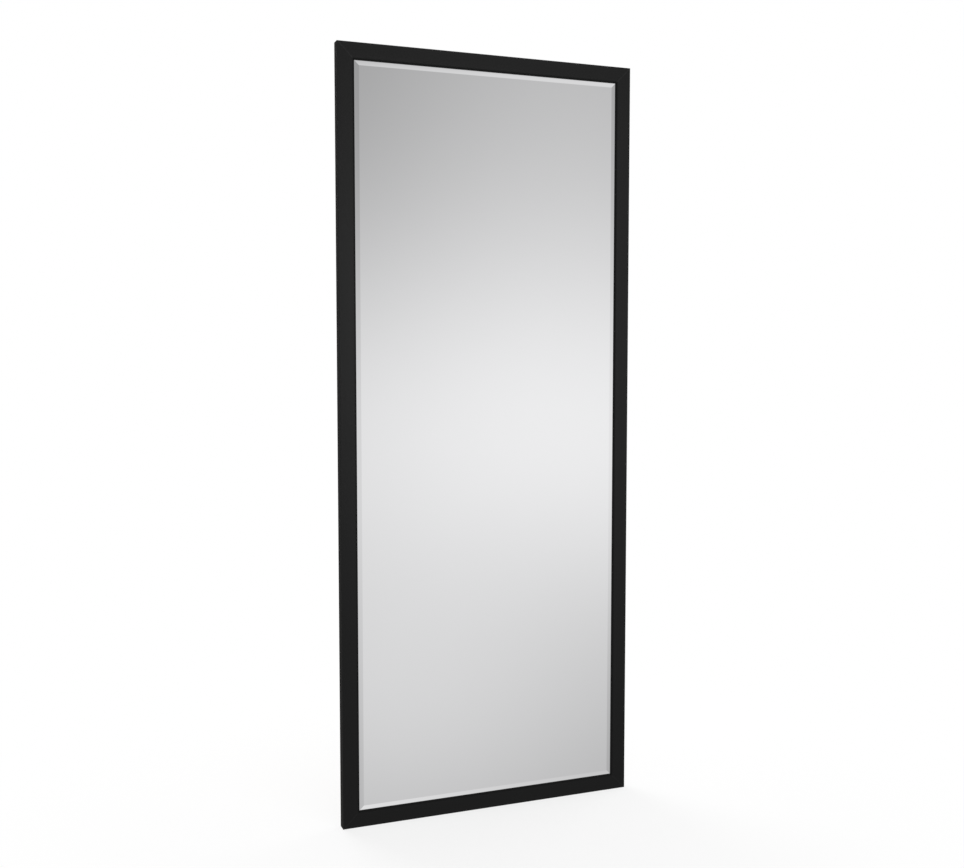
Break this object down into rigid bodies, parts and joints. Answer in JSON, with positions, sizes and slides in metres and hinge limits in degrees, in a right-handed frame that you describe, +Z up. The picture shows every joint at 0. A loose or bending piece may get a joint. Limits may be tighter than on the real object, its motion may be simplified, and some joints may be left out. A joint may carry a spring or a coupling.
{
  "type": "full length mirror",
  "caption": "Tall rectangular wall mirror in a mitred satin black moulding, with bevelled glass, a boarded back held by turn buttons, and strap hangers with rings.",
  "frame": {"origin": "on the wall plane that the rubber bumpers rest on, under the middle of the bottom edge", "axes": "+Z up along the stiles, +X to the right seen from the front, +Y towards the wall; the glass faces -Y"},
  "size_m": [0.699, 0.0329, 1.715],
  "materials": {
    "black_moulding": "satin",
    "mirror_glass": "polished",
    "backing_film": "matte",
    "corrugated_card": "matte",
    "fibreboard": "matte",
    "black_rubber": "matte",
    "zinc_plate": "satin",
    "zinc_wire": "satin",
    "bright_steel": "satin"
  },
  "bodies": {
    "mirror": {"backing_board": "fibreboard", "bottom_rail": "black_moulding", "bumper_screws": "bright_steel", "corner_brace_bottom_left": "zinc_plate", "corner_brace_bottom_right": "zinc_plate", "corner_brace_screws": "bright_steel", "corner_brace_top_left": "zinc_plate", "corner_brace_top_right": "zinc_plate", "cushion_sheet": "corrugated_card", "edge_spacers": "black_rubber", "hanger_screws": "bright_steel", "hanger_strap_bottom": "zinc_plate", "hanger_strap_left": "zinc_plate", "hanger_strap_right": "zinc_plate", "hanger_strap_top": "zinc_plate", "left_stile": "black_moulding", "mirror_glass": "mirror_glass", "right_stile": "black_moulding", "setting_blocks": "black_rubber", "silver_backing": "backing_film", "top_rail": "black_moulding", "turn_button_screws": "bright_steel", "v_nails": "bright_steel", "wall_bumpers": "black_rubber"},
    "ring_left": {"hanger_ring_left": "zinc_wire"},
    "ring_right": {"hanger_ring_right": "zinc_wire"},
    "ring_top": {"hanger_ring_top": "zinc_wire"},
    "ring_bottom": {"hanger_ring_bottom": "zinc_wire"},
    "button_left_1": {"turn_button_left_1": "zinc_plate"},
    "button_right_1": {"turn_button_right_1": "zinc_plate"},
    "button_left_2": {"turn_button_left_2": "zinc_plate"},
    "button_right_2": {"turn_button_right_2": "zinc_plate"},
    "button_left_3": {"turn_button_left_3": "zinc_plate"},
    "button_right_3": {"turn_button_right_3": "zinc_plate"},
    "button_top_1": {"turn_button_top_1": "zinc_plate"},
    "button_bottom_1": {"turn_button_bottom_1": "zinc_plate"},
    "button_top_2": {"turn_button_top_2": "zinc_plate"},
    "button_bottom_2": {"turn_button_bottom_2": "zinc_plate"}
  },
  "joints": [
    {"name": "ring_left_swing", "type": "hinge", "parent": "mirror", "child": "ring_left", "pos_m": [-0.33375, -0.00522, 1.1375], "axis": [-1, 0, 0], "range_deg": [0, 170]},
    {"name": "ring_right_swing", "type": "hinge", "parent": "mirror", "child": "ring_right", "pos_m": [0.33375, -0.00522, 1.1375], "axis": [-1, 0, 0], "range_deg": [0, 170]},
    {"name": "ring_top_swing", "type": "hinge", "parent": "mirror", "child": "ring_top", "pos_m": [0.1, -0.00522, 1.69925], "axis": [0, 0, 1], "range_deg": [0, 170]},
    {"name": "ring_bottom_swing", "type": "hinge", "parent": "mirror", "child": "ring_bottom", "pos_m": [0.1, -0.00522, 0.01575], "axis": [0, 0, 1], "range_deg": [0, 170]},
    {"name": "button_left_1_turn", "type": "hinge", "parent": "mirror", "child": "button_left_1", "pos_m": [-0.327, -0.008, 0.2975], "axis": [0, 1, 0], "continuous": true},
    {"name": "button_right_1_turn", "type": "hinge", "parent": "mirror", "child": "button_right_1", "pos_m": [0.327, -0.008, 0.2975], "axis": [0, 1, 0], "continuous": true},
    {"name": "button_left_2_turn", "type": "hinge", "parent": "mirror", "child": "button_left_2", "pos_m": [-0.327, -0.008, 0.8575], "axis": [0, 1, 0], "continuous": true},
    {"name": "button_right_2_turn", "type": "hinge", "parent": "mirror", "child": "button_right_2", "pos_m": [0.327, -0.008, 0.8575], "axis": [0, 1, 0], "continuous": true},
    {"name": "button_left_3_turn", "type": "hinge", "parent": "mirror", "child": "button_left_3", "pos_m": [-0.327, -0.008, 1.4175], "axis": [0, 1, 0], "continuous": true},
    {"name": "button_right_3_turn", "type": "hinge", "parent": "mirror", "child": "button_right_3", "pos_m": [0.327, -0.008, 1.4175], "axis": [0, 1, 0], "continuous": true},
    {"name": "button_top_1_turn", "type": "hinge", "parent": "mirror", "child": "button_top_1", "pos_m": [-0.2, -0.008, 1.6925], "axis": [0, 1, 0], "continuous": true},
    {"name": "button_bottom_1_turn", "type": "hinge", "parent": "mirror", "child": "button_bottom_1", "pos_m": [-0.2, -0.008, 0.0225], "axis": [0, 1, 0], "continuous": true},
    {"name": "button_top_2_turn", "type": "hinge", "parent": "mirror", "child": "button_top_2", "pos_m": [0.2, -0.008, 1.6925], "axis": [0, 1, 0], "continuous": true},
    {"name": "button_bottom_2_turn", "type": "hinge", "parent": "mirror", "child": "button_bottom_2", "pos_m": [0.2, -0.008, 0.0225], "axis": [0, 1, 0], "continuous": true}
  ]
}
